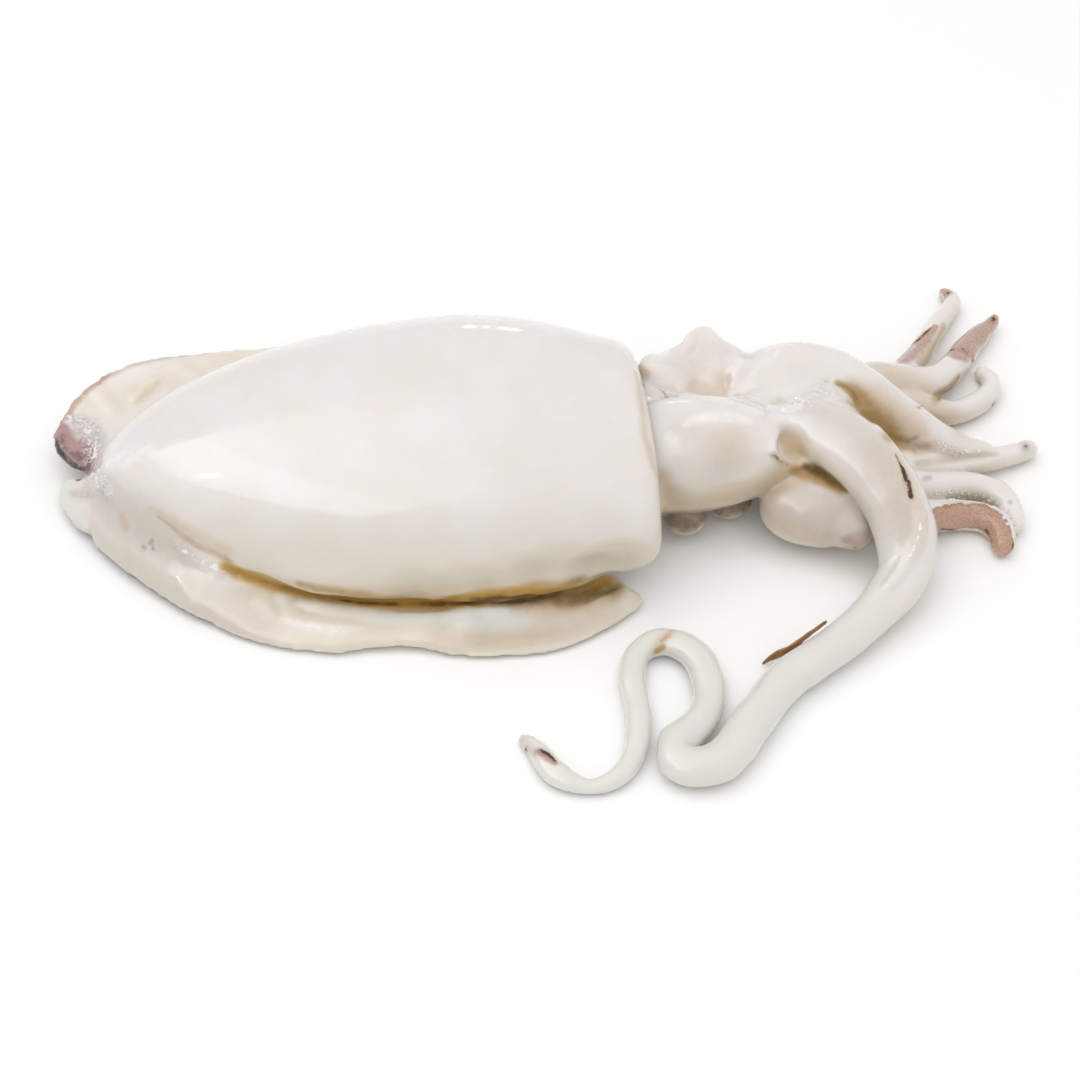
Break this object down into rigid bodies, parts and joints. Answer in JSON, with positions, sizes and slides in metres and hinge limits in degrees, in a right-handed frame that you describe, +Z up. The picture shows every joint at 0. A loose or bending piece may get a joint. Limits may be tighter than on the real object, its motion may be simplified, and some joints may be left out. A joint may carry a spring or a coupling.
{
  "type": "raw cuttlefish",
  "caption": "Whole raw cuttlefish with most of its skin taken off, lying flat: a plump mantle edged by fins, and its head with arms and a long looped tentacle.",
  "frame": {"origin": "bottom centre of the whole cuttlefish's box, on the table", "axes": "+X from the tail towards the arms, +Z up from the table, -Y to the side on which the tentacle lies"},
  "size_m": [0.2854, 0.1918, 0.053],
  "materials": {
    "mantle_flesh": "wet creamy white flesh, glossy",
    "head_flesh": "wet creamy white flesh, glossy, with patches of pink-brown skin",
    "brown_skin": "thin wet orange-brown skin"
  },
  "bodies": {
    "root": {"mantle": "mantle_flesh", "head": "head_flesh", "skin_shred": "brown_skin"}
  },
  "joints": []
}
